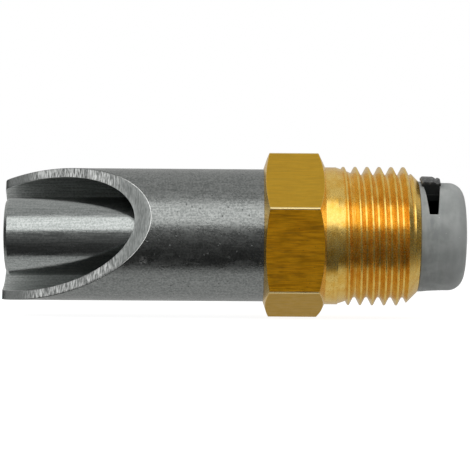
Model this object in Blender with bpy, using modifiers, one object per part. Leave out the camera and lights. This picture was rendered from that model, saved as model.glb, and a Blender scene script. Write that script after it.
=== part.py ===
# Bite nipple drinker for a livestock water line, as an assembly of its separate pieces.
# The centre line is X: -X is the mouth end, +X is the water inlet, and +Z is up.
# The origin lies on the centre line, where the hex meets the neck of the pipe thread.
# Angles round the centre line are counted from the front (-Y) upwards (+Z).
# All sizes are in metres.

import math

import bmesh
import bpy
from mathutils import Matrix, Vector

# Bite tube
TUBE_RADIUS = 0.0100
TUBE_WALL = 0.0014
TUBE_REACH = 0.03965
TUBE_EDGE_ROUND = 0.0004
SCOOP_LENGTH = 0.0230
SCOOP_ANGLE = math.radians(30.0)
SCOOP_TURN = math.radians(15.0)

# Hex and threaded shank
HEX_STEP = 0.0006225
HEX_LENGTH = 0.00915
HEX_TURN = math.radians(-11.7)
HEX_MOUTH_CHAMFER = math.radians(18.5)
HEX_NECK_CHAMFER = math.radians(25.5)
HEX_NECK_STEP = 0.00022
NECK_RELIEF = 0.0001
NECK_LENGTH = 0.0026
SHANK_LENGTH = 0.01405
THREAD_RADIUS = 0.0104775
THREAD_PITCH = 0.0254 / 14.0
THREAD_DEPTH_SHARE = 0.640327
THREAD_FLANK_ANGLE = math.radians(27.5)
THREAD_END_WALL = 0.00035
THREAD_FIRST_CREST = 0.00102

# Water chamber and valve seat inside the body
SHANK_WALL = 0.00117
WEB_THICKNESS = 0.0022
WEB_FACE_X = -0.0014
WEB_WATER_GAP = 0.0015
SEAT_LIP_HEIGHT = 0.0004
SEAT_LIP_WIDTH = 0.0006

# Bite pin
PIN_RADIUS = 0.0059
PIN_INSET = 0.0009
PIN_EDGE_ROUND = 0.0006
PIN_HEAD_BACK = 0.0044
PIN_NECK_RADIUS = 0.0030
PIN_TAIL_RADIUS = 0.0020
PIN_TAIL_SPARE = 0.0010
PIN_DROOP = math.radians(0.5)

# Valve parts on the pin's tail
SEAL_THICKNESS = 0.0018
SEAL_SIDE_GAP = 0.00115
PLATE_THICKNESS = 0.0012
PLATE_INSET = 0.0001
CLIP_THICKNESS = 0.0005
CLIP_WIDTH = 0.0013
CLIP_GROOVE_DEPTH = 0.0004

# Spring and its retainer
SPRING_WIRE_RADIUS = 0.00035
SPRING_RADIUS = 0.0042
SPRING_LENGTH = 0.0054
SPRING_TURNS = 4.5
RETAINER_THICKNESS = 0.0011
RETAINER_BOSS_HEIGHT = 0.0010
RETAINER_HOLE_RADIUS = 0.0011
RETAINER_HOLES = 8

# Inlet cap
CAP_WALL = 0.00087
CAP_START_GAP = 0.00025
CAP_REACH = 0.00695
CAP_FLANGE_WIDTH = 0.0002
CAP_TAPER = 0.00023
CAP_CORNER_RADIUS = 0.0023
CAP_END_WALL = 0.0011
SLOT_START_ANGLE = math.radians(23.5)
SLOT_OFFSET = 0.00122
SLOT_START_WIDTH = 0.00133
SLOT_TAPER = 0.00080

# Strainer disc in the cap's mouth
STRAINER_THICKNESS = 0.0005
STRAINER_INSET = 0.00015
STRAINER_HOLE_RADIUS = 0.00042
STRAINER_HOLE_RINGS = 3
STRAINER_RIM = 0.00116

# Flow regulator: a sleeve in the cap with a lug out through the slot
SLEEVE_WALL = 0.0010
SLEEVE_START_GAP = 0.0006
SLEEVE_END_GAP = 0.0012
LUG_ANGLE = math.radians(63.0)
LUG_SPAN = math.radians(26.0)
LUG_TRAVEL = math.radians(36.0)
LUG_WIDTH = 0.0030
LUG_HEIGHT = 0.00067
LUG_OVERHANG = 0.00040
LUG_SIDE_GAP = 0.00010
WINDOW_MARGIN = math.radians(2.0)

# Clearances
PRESS_GAP = 0.00005
FACE_GAP = 0.00005
RUN_GAP = 0.00010

# Points closer than this are one point
WELD_DISTANCE = 0.000001

# Facets in a full turn
TURN_STEPS = 48
FINE_TURN_STEPS = 64
HOLE_STEPS = 12

# Stations along the centre line
MOUTH_X = -HEX_LENGTH - TUBE_REACH
WEB_BACK_X = WEB_FACE_X - WEB_THICKNESS
SEAT_X = WEB_FACE_X + SEAT_LIP_HEIGHT
SEAL_X = SEAT_X + FACE_GAP
PLATE_X = SEAL_X + SEAL_THICKNESS + FACE_GAP
PLATE_BACK_X = PLATE_X + PLATE_THICKNESS
CLIP_X = PLATE_BACK_X + FACE_GAP
CLIP_BACK_X = CLIP_X + CLIP_THICKNESS
SPRING_X = PLATE_BACK_X + FACE_GAP
RETAINER_X = SPRING_X + SPRING_LENGTH + FACE_GAP
RETAINER_BACK_X = RETAINER_X + RETAINER_THICKNESS
CAP_START_X = RETAINER_BACK_X + CAP_START_GAP
CAP_SHOULDER_X = SHANK_LENGTH + FACE_GAP
CAP_END_X = CAP_SHOULDER_X + CAP_REACH
STRAINER_X = CAP_START_X + STRAINER_INSET
SLEEVE_X = STRAINER_X + STRAINER_THICKNESS + SLEEVE_START_GAP
SLEEVE_END_X = CAP_END_X - CAP_END_WALL - SLEEVE_END_GAP
SLOT_X = CAP_SHOULDER_X + SLOT_OFFSET

# Radii that follow from the sizes above
TUBE_BORE_RADIUS = TUBE_RADIUS - TUBE_WALL
SOCKET_RADIUS = TUBE_RADIUS + PRESS_GAP
NECK_RADIUS = THREAD_RADIUS - NECK_RELIEF
HEX_ACROSS_FLATS = 2.0 * (max(NECK_RADIUS, TUBE_RADIUS) + HEX_STEP)
THREAD_DEPTH = THREAD_DEPTH_SHARE * THREAD_PITCH
CHAMBER_RADIUS = THREAD_RADIUS - THREAD_DEPTH - SHANK_WALL
WEB_BORE_RADIUS = PIN_NECK_RADIUS + WEB_WATER_GAP
SEAL_RADIUS = CHAMBER_RADIUS - SEAL_SIDE_GAP
PLATE_RADIUS = SEAL_RADIUS - PLATE_INSET
SPIGOT_RADIUS = CHAMBER_RADIUS - RUN_GAP
CAP_BORE_RADIUS = SPIGOT_RADIUS - CAP_WALL
CAP_FLANGE_RADIUS = CHAMBER_RADIUS + CAP_FLANGE_WIDTH
CAP_RADIUS = CAP_FLANGE_RADIUS - CAP_TAPER
SLEEVE_RADIUS = CAP_BORE_RADIUS - RUN_GAP
SLEEVE_BORE_RADIUS = SLEEVE_RADIUS - SLEEVE_WALL
LUG_TOP_RADIUS = CAP_FLANGE_RADIUS + RUN_GAP + LUG_HEIGHT

MATERIALS = {
    "steel": ((0.46, 0.46, 0.45), 0.28, 1.0),
    "pin_steel": ((0.50, 0.50, 0.49), 0.24, 1.0),
    "spring_steel": ((0.42, 0.42, 0.43), 0.30, 1.0),
    "brass": ((0.62, 0.42, 0.12), 0.30, 1.0),
    "rubber": ((0.03, 0.03, 0.03), 0.80, 0.0),
    "white_plastic": ((0.75, 0.75, 0.72), 0.45, 0.0),
    "grey_plastic": ((0.30, 0.31, 0.31), 0.45, 0.0),
    "black_plastic": ((0.02, 0.02, 0.02), 0.40, 0.0),
}


def make_material(name):
    colour, roughness, metallic = MATERIALS[name]
    material = bpy.data.materials.new(name)
    material.use_nodes = True
    shader = material.node_tree.nodes["Principled BSDF"]
    shader.inputs["Base Color"].default_value = (*colour, 1.0)
    shader.inputs["Roughness"].default_value = roughness
    shader.inputs["Metallic"].default_value = metallic
    return material


def add_object(name, data, collection):
    obj = bpy.data.objects.new(name, data)
    collection.objects.link(obj)
    return obj


def mesh_from(name, shape):
    mesh = bpy.data.meshes.new(name)
    shape.to_mesh(mesh)
    shape.free()
    return mesh


def bake(obj):
    # Replaces the object's data with what its modifiers make of it.
    graph = bpy.context.evaluated_depsgraph_get()
    mesh = bpy.data.meshes.new_from_object(obj.evaluated_get(graph))
    obj.modifiers.clear()
    obj.data = mesh
    return obj


def weld(obj):
    # Joins points that coincide, and takes out the slivers that this leaves.
    shape = bmesh.new()
    shape.from_mesh(obj.data)
    bmesh.ops.remove_doubles(shape, verts=shape.verts[:], dist=WELD_DISTANCE)
    bmesh.ops.dissolve_degenerate(shape, edges=shape.edges[:], dist=WELD_DISTANCE)
    shape.to_mesh(obj.data)
    shape.free()
    return obj


def combine(obj, other, operation):
    modifier = obj.modifiers.new(operation.lower(), "BOOLEAN")
    modifier.operation = operation
    modifier.solver = "EXACT"
    modifier.object = other
    bake(obj)
    bpy.data.objects.remove(other)
    return weld(obj)


def finish(obj, material, parts):
    # Gives a piece its material and smooth shading, and files it with the parts.
    obj.data.materials.clear()
    obj.data.materials.append(material)
    obj.data.shade_smooth()
    obj.data.set_sharp_from_angle(angle=math.radians(35.0))
    for collection in list(obj.users_collection):
        collection.objects.unlink(obj)
    parts.objects.link(obj)
    return obj


def arc(centre_x, centre_r, radius, start, end, steps=4):
    # Points (x, r) on an arc, with angles in degrees from +x towards +r.
    points = []
    for step in range(steps + 1):
        angle = math.radians(start + (end - start) * step / steps)
        x = centre_x + radius * math.cos(angle)
        r = centre_r + radius * math.sin(angle)
        points.append((x, r))
    return points


def turned(name, outline, collection, steps=TURN_STEPS, ring=False):
    # Turns an outline of (x, r) points about the centre line, from its -X end to its +X end
    # along the outside. A ring's outline closes on itself, any other begins and ends at r = 0.
    shape = bmesh.new()
    points = [shape.verts.new((x, 0.0, r)) for x, r in outline]
    for first, second in zip(points, points[1:]):
        shape.edges.new((first, second))
    if ring:
        shape.edges.new((points[-1], points[0]))
    obj = add_object(name, mesh_from(name, shape), collection)
    screw = obj.modifiers.new("turn", "SCREW")
    screw.axis = "X"
    screw.steps = steps
    screw.render_steps = steps
    screw.use_merge_vertices = True
    screw.merge_threshold = WELD_DISTANCE
    screw.use_normal_calculate = True
    bake(obj)
    shape = bmesh.new()
    shape.from_mesh(obj.data)
    bmesh.ops.recalc_face_normals(shape, faces=shape.faces[:])
    shape.to_mesh(obj.data)
    shape.free()
    return obj


def round_point(x, radius, angle):
    return Vector((x, -radius * math.cos(angle), radius * math.sin(angle)))


def swept(name, section, start, end, collection, steps=24):
    # Lofts a section of (x, r) points, given as a function of the angle, round the centre line.
    shape = bmesh.new()
    rings = []
    for step in range(steps + 1):
        angle = start + (end - start) * step / steps
        rings.append([shape.verts.new(round_point(x, r, angle)) for x, r in section(angle)])
    for low, high in zip(rings, rings[1:]):
        for side in range(len(low)):
            after = (side + 1) % len(low)
            shape.faces.new((low[side], low[after], high[after], high[side]))
    shape.faces.new(rings[0])
    shape.faces.new(rings[-1])
    bmesh.ops.recalc_face_normals(shape, faces=shape.faces[:])
    return add_object(name, mesh_from(name, shape), collection)


def drill(obj, spots, radius, x_low, x_high, collection, steps=HOLE_STEPS):
    # Cuts a round hole along X at each spot, given as (angle, distance from the centre line).
    shape = bmesh.new()
    lie_down = Matrix.Rotation(math.pi / 2.0, 4, "Y")
    for angle, distance in spots:
        place = Matrix.Translation(round_point((x_low + x_high) / 2.0, distance, angle)) @ lie_down
        bmesh.ops.create_cone(shape, cap_ends=True, segments=steps, radius1=radius, radius2=radius,
                              depth=x_high - x_low, matrix=place)
    drills = add_object("drills", mesh_from("drills", shape), collection)
    return combine(obj, drills, "DIFFERENCE")


def make_mouth_tube(helpers):
    # A stainless tube, rolled into the body's socket and cut back obliquely at the mouth.
    edge = TUBE_EDGE_ROUND
    outline = arc(MOUTH_X + edge, TUBE_BORE_RADIUS + edge, edge, 270.0, 180.0, 3)
    outline += arc(MOUTH_X + edge, TUBE_RADIUS - edge, edge, 180.0, 90.0, 3)
    outline += [(WEB_BACK_X - FACE_GAP, TUBE_RADIUS), (WEB_BACK_X - FACE_GAP, TUBE_BORE_RADIUS)]
    tube = turned("mouth_tube", outline, helpers, FINE_TURN_STEPS, ring=True)
    return combine(tube, make_scoop_cutter(helpers), "DIFFERENCE")


def make_scoop_cutter(helpers):
    # A block whose underside is the plane of the oblique cut.
    side = 6.0 * TUBE_RADIUS + SCOOP_LENGTH
    across = Vector((0.0, -math.cos(SCOOP_TURN), math.sin(SCOOP_TURN)))
    along = Vector((1.0, 0.0, 0.0))
    slope = along * math.cos(SCOOP_ANGLE) + across * math.sin(SCOOP_ANGLE)
    normal = across * math.cos(SCOOP_ANGLE) - along * math.sin(SCOOP_ANGLE)
    apex = along * (MOUTH_X + SCOOP_LENGTH) + across * TUBE_RADIUS
    axes = Matrix((slope, normal.cross(slope), normal)).transposed().to_4x4()
    shape = bmesh.new()
    bmesh.ops.create_cube(shape, size=side)
    place = Matrix.Translation(apex + normal * side / 2.0) @ axes
    bmesh.ops.transform(shape, matrix=place, verts=shape.verts[:])
    return add_object("scoop_cutter", mesh_from("scoop_cutter", shape), helpers)


def make_hex_body(helpers):
    # The brass body: a hex for the wrench, a threaded shank, and the valve chamber inside.
    corner_radius = HEX_ACROSS_FLATS / 2.0 / math.cos(math.pi / 6.0)
    shape = bmesh.new()
    bmesh.ops.create_cone(shape, cap_ends=True, segments=6, radius1=corner_radius,
                          radius2=corner_radius, depth=HEX_LENGTH)
    along_x = Matrix.Rotation(math.pi / 2.0, 4, "Y")
    centre = Matrix.Translation((-HEX_LENGTH / 2.0, 0.0, 0.0))
    turn = Matrix.Rotation(math.pi / 6.0 - HEX_TURN, 4, "X")
    bmesh.ops.transform(shape, matrix=centre @ turn @ along_x, verts=shape.verts[:])
    body = add_object("hex_body", mesh_from("hex_body", shape), helpers)

    rim = corner_radius + RUN_GAP
    mouth_foot = SOCKET_RADIUS + RUN_GAP
    neck_foot = NECK_RADIUS + HEX_NECK_STEP
    mouth_run = (rim - mouth_foot) * math.tan(HEX_MOUTH_CHAMFER)
    neck_run = (rim - neck_foot) * math.tan(HEX_NECK_CHAMFER)
    barrel = [(-HEX_LENGTH, 0.0), (-HEX_LENGTH, mouth_foot), (mouth_run - HEX_LENGTH, rim),
              (-neck_run, rim), (0.0, neck_foot), (0.0, 0.0)]
    combine(body, turned("hex_chamfers", barrel, helpers, FINE_TURN_STEPS), "INTERSECT")
    combine(body, make_shank(helpers), "UNION")
    return combine(body, make_body_bore(helpers), "DIFFERENCE")


def make_shank(helpers):
    # The outside of the shank is a turned blank, and the thread form trims it to crests and roots.
    chamfer = THREAD_RADIUS - CHAMBER_RADIUS - THREAD_END_WALL
    blank = [(-HEX_LENGTH / 4.0, 0.0), (-HEX_LENGTH / 4.0, NECK_RADIUS), (NECK_LENGTH, NECK_RADIUS),
             (NECK_LENGTH + RUN_GAP, THREAD_RADIUS), (SHANK_LENGTH - chamfer, THREAD_RADIUS),
             (SHANK_LENGTH, THREAD_RADIUS - chamfer), (SHANK_LENGTH, 0.0)]
    shank = turned("shank", blank, helpers)
    return combine(shank, make_thread_form(helpers), "INTERSECT")


def make_thread_form(helpers):
    # A core at the root radius with a helical ridge wound round it, both a little oversize.
    root = THREAD_RADIUS - THREAD_DEPTH
    spare = 0.15 * THREAD_DEPTH
    over = THREAD_RADIUS + spare
    run_out = over - root
    core = [(-HEX_LENGTH / 3.0, 0.0), (-HEX_LENGTH / 3.0, over), (NECK_LENGTH, over),
            (NECK_LENGTH + run_out, root), (SHANK_LENGTH + spare, root), (SHANK_LENGTH + spare, 0.0)]
    form = turned("thread_form", core, helpers)

    half_crest = THREAD_PITCH / 12.0
    slope = math.tan(THREAD_FLANK_ANGLE)
    foot = half_crest + (THREAD_DEPTH + spare) * slope
    tip = half_crest - spare * slope
    tooth = [(-foot, root - spare), (-tip, over), (tip, over), (foot, root - spare)]
    shape = bmesh.new()
    corners = [shape.verts.new((THREAD_FIRST_CREST + x, 0.0, r)) for x, r in tooth]
    for first, second in zip(corners, corners[1:] + corners[:1]):
        shape.edges.new((first, second))
    ridge = add_object("thread_ridge", mesh_from("thread_ridge", shape), helpers)
    screw = ridge.modifiers.new("wind", "SCREW")
    screw.axis = "X"
    screw.screw_offset = THREAD_PITCH
    screw.iterations = math.ceil((SHANK_LENGTH - THREAD_FIRST_CREST) / THREAD_PITCH + 0.5)
    screw.steps = TURN_STEPS
    screw.render_steps = TURN_STEPS
    bake(ridge)
    close_ends(ridge)
    return combine(form, ridge, "UNION")


def close_ends(obj):
    shape = bmesh.new()
    shape.from_mesh(obj.data)
    bmesh.ops.holes_fill(shape, edges=shape.edges[:], sides=0)
    bmesh.ops.recalc_face_normals(shape, faces=shape.faces[:])
    shape.to_mesh(obj.data)
    shape.free()


def make_body_bore(helpers):
    # The hollow of the body: tube socket, hole in the web, seat lip and water chamber.
    lip = WEB_BORE_RADIUS + SEAT_LIP_WIDTH
    outline = [(-2.0 * HEX_LENGTH, 0.0), (-2.0 * HEX_LENGTH, SOCKET_RADIUS), (WEB_BACK_X, SOCKET_RADIUS),
               (WEB_BACK_X, WEB_BORE_RADIUS), (SEAT_X, WEB_BORE_RADIUS), (SEAT_X, lip),
               (WEB_FACE_X, lip + SEAT_LIP_HEIGHT), (WEB_FACE_X, CHAMBER_RADIUS),
               (2.0 * SHANK_LENGTH, CHAMBER_RADIUS), (2.0 * SHANK_LENGTH, 0.0)]
    return turned("body_bore", outline, helpers)


def make_bite_pin(helpers):
    # The pin that the animal pushes: a thick head in the tube and a slim tail through the seat.
    front = MOUTH_X + PIN_INSET
    head_back = WEB_BACK_X - PIN_HEAD_BACK
    cone_end = head_back + PIN_RADIUS - PIN_NECK_RADIUS
    shoulder = PLATE_X - FACE_GAP
    groove = PIN_TAIL_RADIUS - CLIP_GROOVE_DEPTH
    slack = FACE_GAP / 2.0
    tail_end = CLIP_BACK_X + slack + PIN_TAIL_SPARE
    bevel = PIN_TAIL_RADIUS / 5.0
    outline = [(front, 0.0)]
    outline += arc(front + PIN_EDGE_ROUND, PIN_RADIUS - PIN_EDGE_ROUND, PIN_EDGE_ROUND, 180.0, 90.0)
    outline += [(head_back, PIN_RADIUS), (cone_end, PIN_NECK_RADIUS), (shoulder, PIN_NECK_RADIUS),
                (shoulder, PIN_TAIL_RADIUS), (CLIP_X - slack, PIN_TAIL_RADIUS), (CLIP_X - slack, groove),
                (CLIP_BACK_X + slack, groove), (CLIP_BACK_X + slack, PIN_TAIL_RADIUS),
                (tail_end - bevel, PIN_TAIL_RADIUS), (tail_end, PIN_TAIL_RADIUS - bevel), (tail_end, 0.0)]
    pin = turned("bite_pin", outline, helpers)
    # Its own weight lets the loose pin hang a little low at the mouth.
    pivot = Matrix.Translation((SEAT_X, 0.0, 0.0))
    side_axis = Vector((0.0, -math.cos(SCOOP_TURN), math.sin(SCOOP_TURN)))
    pin.data.transform(pivot @ Matrix.Rotation(PIN_DROOP, 4, side_axis) @ pivot.inverted())
    return pin


def washer(name, bore, radius, x_low, thickness, helpers):
    outline = [(x_low, bore), (x_low, radius), (x_low + thickness, radius), (x_low + thickness, bore)]
    return turned(name, outline, helpers, ring=True)


def make_pin_clip(helpers):
    # A snap ring in the tail's groove, open on one side.
    bore = PIN_TAIL_RADIUS - CLIP_GROOVE_DEPTH + FACE_GAP
    clip = washer("pin_clip", bore, bore + CLIP_WIDTH, CLIP_X, CLIP_THICKNESS, helpers)
    reach = bore + CLIP_WIDTH + RUN_GAP

    def mouth(angle):
        return [(CLIP_X - CLIP_THICKNESS, 0.4 * bore), (CLIP_X - CLIP_THICKNESS, reach),
                (CLIP_BACK_X + CLIP_THICKNESS, reach), (CLIP_BACK_X + CLIP_THICKNESS, 0.4 * bore)]

    half_opening = math.radians(35.0)
    opening = swept("clip_mouth", mouth, -half_opening, half_opening, helpers, 6)
    return combine(clip, opening, "DIFFERENCE")


def make_valve_spring(helpers):
    # A compression spring whose ends lie flat against the plate and the retainer.
    start = SPRING_X + SPRING_WIRE_RADIUS
    lift = SPRING_LENGTH - 2.0 * SPRING_WIRE_RADIUS
    steps_per_turn = 14
    count = round(SPRING_TURNS * steps_per_turn)
    curve = bpy.data.curves.new("valve_spring", "CURVE")
    curve.dimensions = "3D"
    curve.bevel_depth = SPRING_WIRE_RADIUS
    curve.bevel_resolution = 2
    curve.use_fill_caps = True
    spline = curve.splines.new("POLY")
    spline.points.add(count)
    for index in range(count + 1):
        share = index / count
        rise = share - 0.5 * math.sin(2.0 * math.pi * share) / math.pi
        spot = round_point(start + lift * rise, SPRING_RADIUS, -2.0 * math.pi * index / steps_per_turn)
        spline.points[index].co = (*spot, 1.0)
    spring = add_object("valve_spring", curve, helpers)
    mesh = bpy.data.meshes.new_from_object(spring.evaluated_get(bpy.context.evaluated_depsgraph_get()))
    bpy.data.objects.remove(spring)
    shape = bmesh.new()
    shape.from_mesh(mesh)
    bmesh.ops.remove_doubles(shape, verts=shape.verts[:], dist=WELD_DISTANCE)
    bmesh.ops.recalc_face_normals(shape, faces=shape.faces[:])
    return add_object("valve_spring", mesh_from("valve_spring", shape), helpers)


def make_spring_retainer(helpers):
    # A disc pressed into the chamber. Its boss centres the spring and its holes pass the water.
    boss = SPRING_RADIUS - SPRING_WIRE_RADIUS - 2.0 * RUN_GAP
    hole = RETAINER_HOLE_RADIUS
    rim = CHAMBER_RADIUS - PRESS_GAP
    back = RETAINER_BACK_X
    boss_x = RETAINER_X - RETAINER_BOSS_HEIGHT
    outline = [(boss_x, hole), (boss_x, boss), (RETAINER_X, boss), (RETAINER_X, rim), (back, rim),
               (back, hole)]
    retainer = turned("spring_retainer", outline, helpers, ring=True)
    distance = (boss + rim) / 2.0
    spots = [(2.0 * math.pi * index / RETAINER_HOLES, distance) for index in range(RETAINER_HOLES)]
    return drill(retainer, spots, hole, boss_x, back + hole, helpers)


def slot_spread(angle):
    # The slot widens on both sides from its narrow end up to where the lug rests.
    return SLOT_TAPER * (min(angle, LUG_ANGLE) - SLOT_START_ANGLE)


def slot_start_x(angle):
    return SLOT_X - slot_spread(angle)


def slot_end_x(angle):
    return SLOT_X + SLOT_START_WIDTH + slot_spread(angle)


def make_inlet_cap(helpers):
    # A moulded cap: a spigot in the chamber, a shoulder on the shank's end and a domed cup outside.
    corner = CAP_CORNER_RADIUS
    inner_corner = corner - CAP_WALL
    inside_end = CAP_END_X - CAP_END_WALL
    lead = CAP_WALL / 3.0
    outline = [(CAP_START_X, CAP_BORE_RADIUS), (CAP_START_X, SPIGOT_RADIUS - lead),
               (CAP_START_X + lead, SPIGOT_RADIUS), (CAP_SHOULDER_X, SPIGOT_RADIUS),
               (CAP_SHOULDER_X, CAP_FLANGE_RADIUS)]
    outline += arc(CAP_END_X - corner, CAP_RADIUS - corner, corner, 90.0, 0.0, 6)
    outline += [(CAP_END_X, 0.0)]
    inside = [(inside_end, 0.0)]
    inside += arc(inside_end - inner_corner, CAP_BORE_RADIUS - inner_corner, inner_corner, 0.0, 90.0)
    cap = turned("inlet_cap", inside + outline, helpers)

    def slot(angle):
        low = CAP_BORE_RADIUS - CAP_WALL / 2.0
        high = CAP_FLANGE_RADIUS + CAP_WALL
        start = slot_start_x(angle)
        end = slot_end_x(angle)
        return [(start, low), (start, high), (end, high), (end, low)]

    slot_end_angle = LUG_ANGLE + LUG_SPAN + LUG_TRAVEL + WINDOW_MARGIN
    cutter = swept("slot_cutter", slot, SLOT_START_ANGLE, slot_end_angle, helpers)
    return combine(cap, cutter, "DIFFERENCE")


def make_filter_screen(helpers):
    # A perforated strainer disc, clipped into the mouth of the cap's spigot.
    back = STRAINER_X + STRAINER_THICKNESS
    rim = CAP_BORE_RADIUS - PRESS_GAP
    outline = [(STRAINER_X, 0.0), (STRAINER_X, rim), (back, rim), (back, 0.0)]
    screen = turned("filter_screen", outline, helpers)
    step = (rim - STRAINER_RIM - STRAINER_HOLE_RADIUS) / STRAINER_HOLE_RINGS
    spots = [(0.0, 0.0)]
    for ring in range(1, STRAINER_HOLE_RINGS + 1):
        count = 6 * ring
        spots += [(2.0 * math.pi * index / count, ring * step) for index in range(count)]
    low = STRAINER_X - STRAINER_THICKNESS
    return drill(screen, spots, STRAINER_HOLE_RADIUS, low, back + STRAINER_THICKNESS, helpers, 6)


def make_flow_regulator(helpers):
    # A sleeve that turns in the cap by its lug, so that its window uncovers more or less slot.
    base = SLEEVE_END_X - SLEEVE_WALL
    outline = [(base, 0.0), (base, SLEEVE_BORE_RADIUS), (SLEEVE_X, SLEEVE_BORE_RADIUS),
               (SLEEVE_X, SLEEVE_RADIUS), (SLEEVE_END_X, SLEEVE_RADIUS), (SLEEVE_END_X, 0.0)]
    sleeve = turned("flow_regulator", outline, helpers)
    low = slot_start_x(LUG_ANGLE) + LUG_SIDE_GAP
    high = slot_end_x(LUG_ANGLE) - LUG_SIDE_GAP
    rim = CAP_FLANGE_RADIUS + RUN_GAP
    bevel = LUG_HEIGHT / 2.0

    def window(angle):
        inside = SLEEVE_BORE_RADIUS - SLEEVE_WALL
        outside = SLEEVE_RADIUS + SLEEVE_WALL
        return [(low, inside), (low, outside), (high, outside), (high, inside)]

    def lug(angle):
        foot = SLEEVE_RADIUS - SLEEVE_WALL / 2.0
        left = low - LUG_OVERHANG
        right = left + LUG_WIDTH
        return [(low, foot), (low, rim), (left, rim), (left, LUG_TOP_RADIUS - bevel),
                (left + bevel, LUG_TOP_RADIUS), (right - LUG_WIDTH / 2.0, LUG_TOP_RADIUS),
                (right, LUG_TOP_RADIUS - bevel), (right, rim), (high, rim), (high, foot)]

    window_end = LUG_ANGLE - WINDOW_MARGIN
    cutter = swept("window", window, SLOT_START_ANGLE - WINDOW_MARGIN, window_end, helpers)
    combine(sleeve, cutter, "DIFFERENCE")
    handle = swept("lug", lug, LUG_ANGLE, LUG_ANGLE + LUG_SPAN, helpers, 8)
    return combine(sleeve, handle, "UNION")


def clear_scene():
    for obj in list(bpy.data.objects):
        bpy.data.objects.remove(obj, do_unlink=True)


def build():
    clear_scene()
    scene = bpy.context.scene.collection
    parts = bpy.data.collections.new("bite_nipple_drinker")
    helpers = bpy.data.collections.new("helpers")
    scene.children.link(parts)
    scene.children.link(helpers)
    materials = {name: make_material(name) for name in MATERIALS}

    seal_bore = PIN_NECK_RADIUS + FACE_GAP
    plate_bore = PIN_TAIL_RADIUS + FACE_GAP
    seal = washer("valve_seal", seal_bore, SEAL_RADIUS, SEAL_X, SEAL_THICKNESS, helpers)
    plate = washer("valve_plate", plate_bore, PLATE_RADIUS, PLATE_X, PLATE_THICKNESS, helpers)
    finish(make_mouth_tube(helpers), materials["steel"], parts)
    finish(make_hex_body(helpers), materials["brass"], parts)
    finish(make_spring_retainer(helpers), materials["white_plastic"], parts)
    finish(make_valve_spring(helpers), materials["spring_steel"], parts)
    cap = finish(make_inlet_cap(helpers), materials["grey_plastic"], parts)
    screen = finish(make_filter_screen(helpers), materials["steel"], parts)
    regulator = finish(make_flow_regulator(helpers), materials["black_plastic"], parts)

    # The pin tilts about the middle of the seat, with all that is fixed to it.
    pivot = add_object("pin_pivot", None, parts)
    pivot.location.x = SEAT_X
    pin = finish(make_bite_pin(helpers), materials["pin_steel"], parts)
    clip = finish(make_pin_clip(helpers), materials["spring_steel"], parts)
    finish(seal, materials["rubber"], parts)
    finish(plate, materials["steel"], parts)
    for piece in (pin, clip, seal, plate):
        piece.parent = pivot
        piece.location.x = -SEAT_X

    # The screen and the regulator come out with the cap.
    screen.parent = cap
    regulator.parent = cap


build()
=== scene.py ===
# Bite nipple drinker for a livestock water line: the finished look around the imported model.
# X runs along the centre line from the mouth (-X) to the water inlet (+X), Z is up, metres throughout.
# Angles round the centre line are counted from the front (-Y) upwards.

import math

import bmesh
import bpy
from mathutils import Matrix, Vector


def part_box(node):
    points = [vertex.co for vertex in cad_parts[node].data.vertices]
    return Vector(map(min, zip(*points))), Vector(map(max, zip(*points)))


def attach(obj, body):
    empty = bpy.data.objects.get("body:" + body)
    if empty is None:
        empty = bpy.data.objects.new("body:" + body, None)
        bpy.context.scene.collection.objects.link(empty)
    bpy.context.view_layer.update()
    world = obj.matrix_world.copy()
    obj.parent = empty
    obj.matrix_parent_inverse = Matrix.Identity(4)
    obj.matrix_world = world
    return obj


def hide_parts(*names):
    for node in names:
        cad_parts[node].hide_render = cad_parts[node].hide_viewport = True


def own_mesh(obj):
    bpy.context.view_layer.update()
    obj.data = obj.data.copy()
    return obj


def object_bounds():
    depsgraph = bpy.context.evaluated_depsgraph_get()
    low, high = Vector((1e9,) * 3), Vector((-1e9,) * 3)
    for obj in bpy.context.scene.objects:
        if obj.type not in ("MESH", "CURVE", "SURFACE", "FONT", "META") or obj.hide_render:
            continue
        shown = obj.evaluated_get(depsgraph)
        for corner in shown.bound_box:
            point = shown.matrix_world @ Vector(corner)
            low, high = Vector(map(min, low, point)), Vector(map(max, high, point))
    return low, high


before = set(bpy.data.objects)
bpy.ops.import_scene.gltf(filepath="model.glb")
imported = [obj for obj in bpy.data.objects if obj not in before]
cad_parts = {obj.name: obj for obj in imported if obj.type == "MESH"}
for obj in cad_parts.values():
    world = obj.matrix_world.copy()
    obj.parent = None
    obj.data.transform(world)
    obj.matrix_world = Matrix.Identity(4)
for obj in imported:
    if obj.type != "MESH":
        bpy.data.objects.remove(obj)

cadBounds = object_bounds()
mm = 0.001


def roundPoint(x, radius, angle):
    return Vector((x, -radius * math.cos(angle), radius * math.sin(angle)))


def newObject(name, mesh):
    obj = bpy.data.objects.new(name, mesh)
    bpy.context.scene.collection.objects.link(obj)
    return obj


def meshFrom(name, shape, outward=True):
    if outward:
        bmesh.ops.recalc_face_normals(shape, faces=shape.faces[:])
    mesh = bpy.data.meshes.new(name)
    shape.to_mesh(mesh)
    shape.free()
    return mesh


def gridMesh(name, rings, closeRings=True):
    # Skins a list of rings that each go once round. A ring of one point is a pole.
    shape = bmesh.new()
    made = [[shape.verts.new(p) for p in ring] for ring in rings]
    pairs = list(zip(made, made[1:]))
    if closeRings:
        pairs.append((made[-1], made[0]))
    for low, high in pairs:
        count = max(len(low), len(high))
        for side in range(count):
            after = (side + 1) % count
            if len(low) == 1:
                shape.faces.new((low[0], high[after], high[side]))
            elif len(high) == 1:
                shape.faces.new((low[side], low[after], high[0]))
            else:
                shape.faces.new((low[side], low[after], high[after], high[side]))
    return meshFrom(name, shape)


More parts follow.
